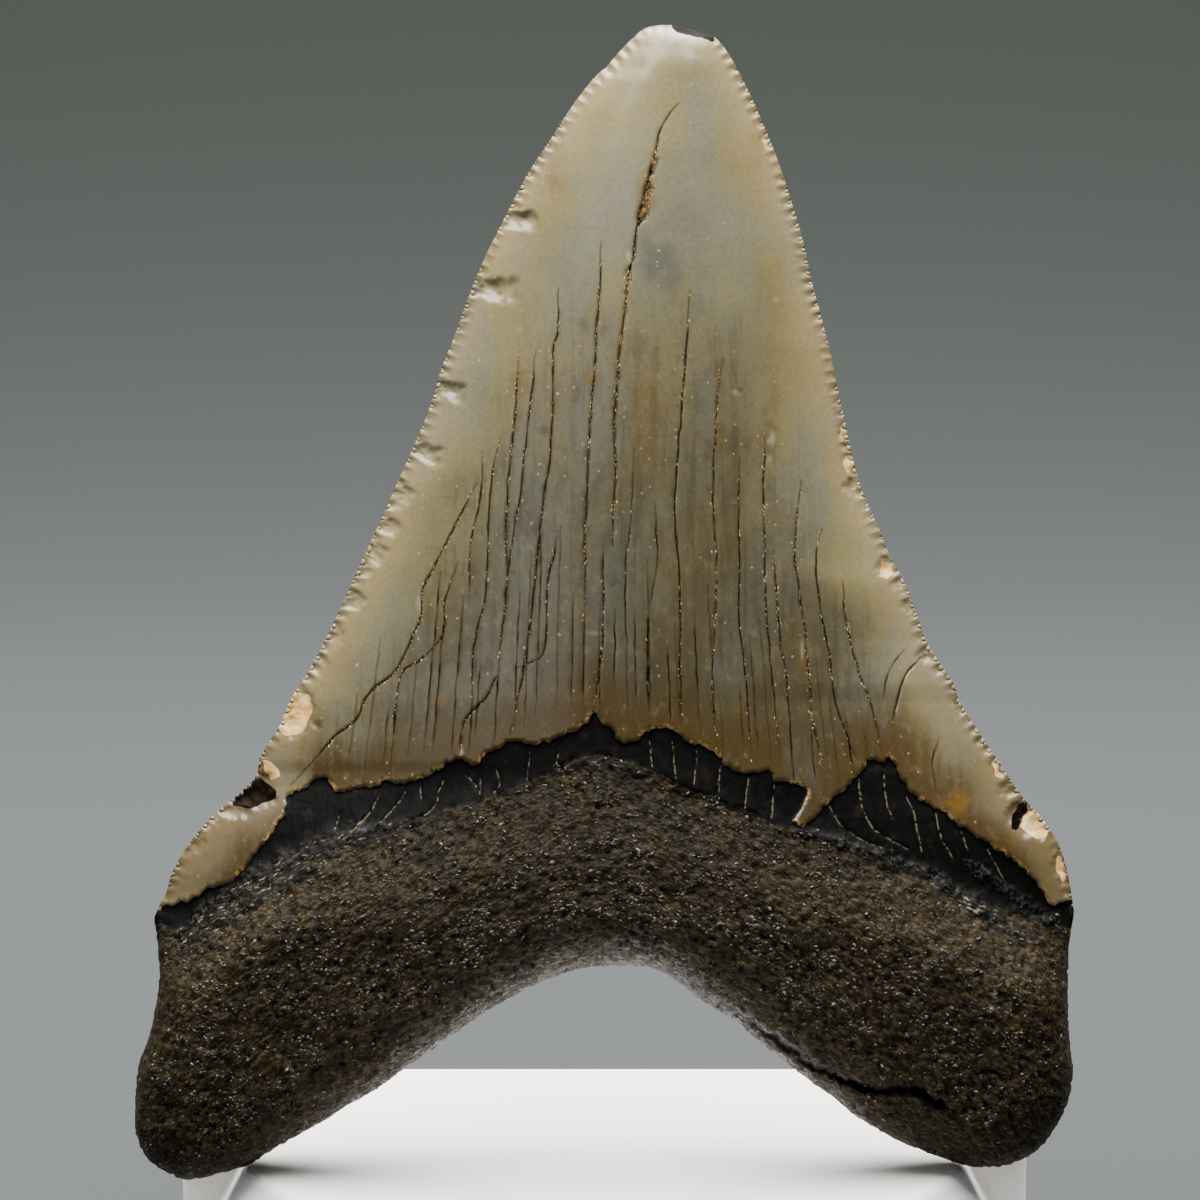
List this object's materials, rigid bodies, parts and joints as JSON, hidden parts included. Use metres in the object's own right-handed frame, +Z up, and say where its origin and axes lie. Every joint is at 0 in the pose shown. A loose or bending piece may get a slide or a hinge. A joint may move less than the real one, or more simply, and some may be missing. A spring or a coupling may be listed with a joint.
{
  "type": "fossil shark tooth on plinth",
  "caption": "Large fossil shark tooth with serrated cutting edges, a broad arched root and a cracked crown, leaning back on a plain white plinth.",
  "frame": {"origin": "centre of the overall bounding box's bottom face, under the plinth", "axes": "+Z up towards the tip of the tooth, +Y from the display face towards the back, +X towards the right root lobe as seen from the front"},
  "size_m": [0.094, 0.0702, 0.1364],
  "materials": {
    "tooth": "worn satin enamel over a matt, porous mineralised root",
    "plinth": "satin white"
  },
  "bodies": {
    "root": {"tooth": "tooth", "plinth": "plinth"}
  },
  "joints": []
}
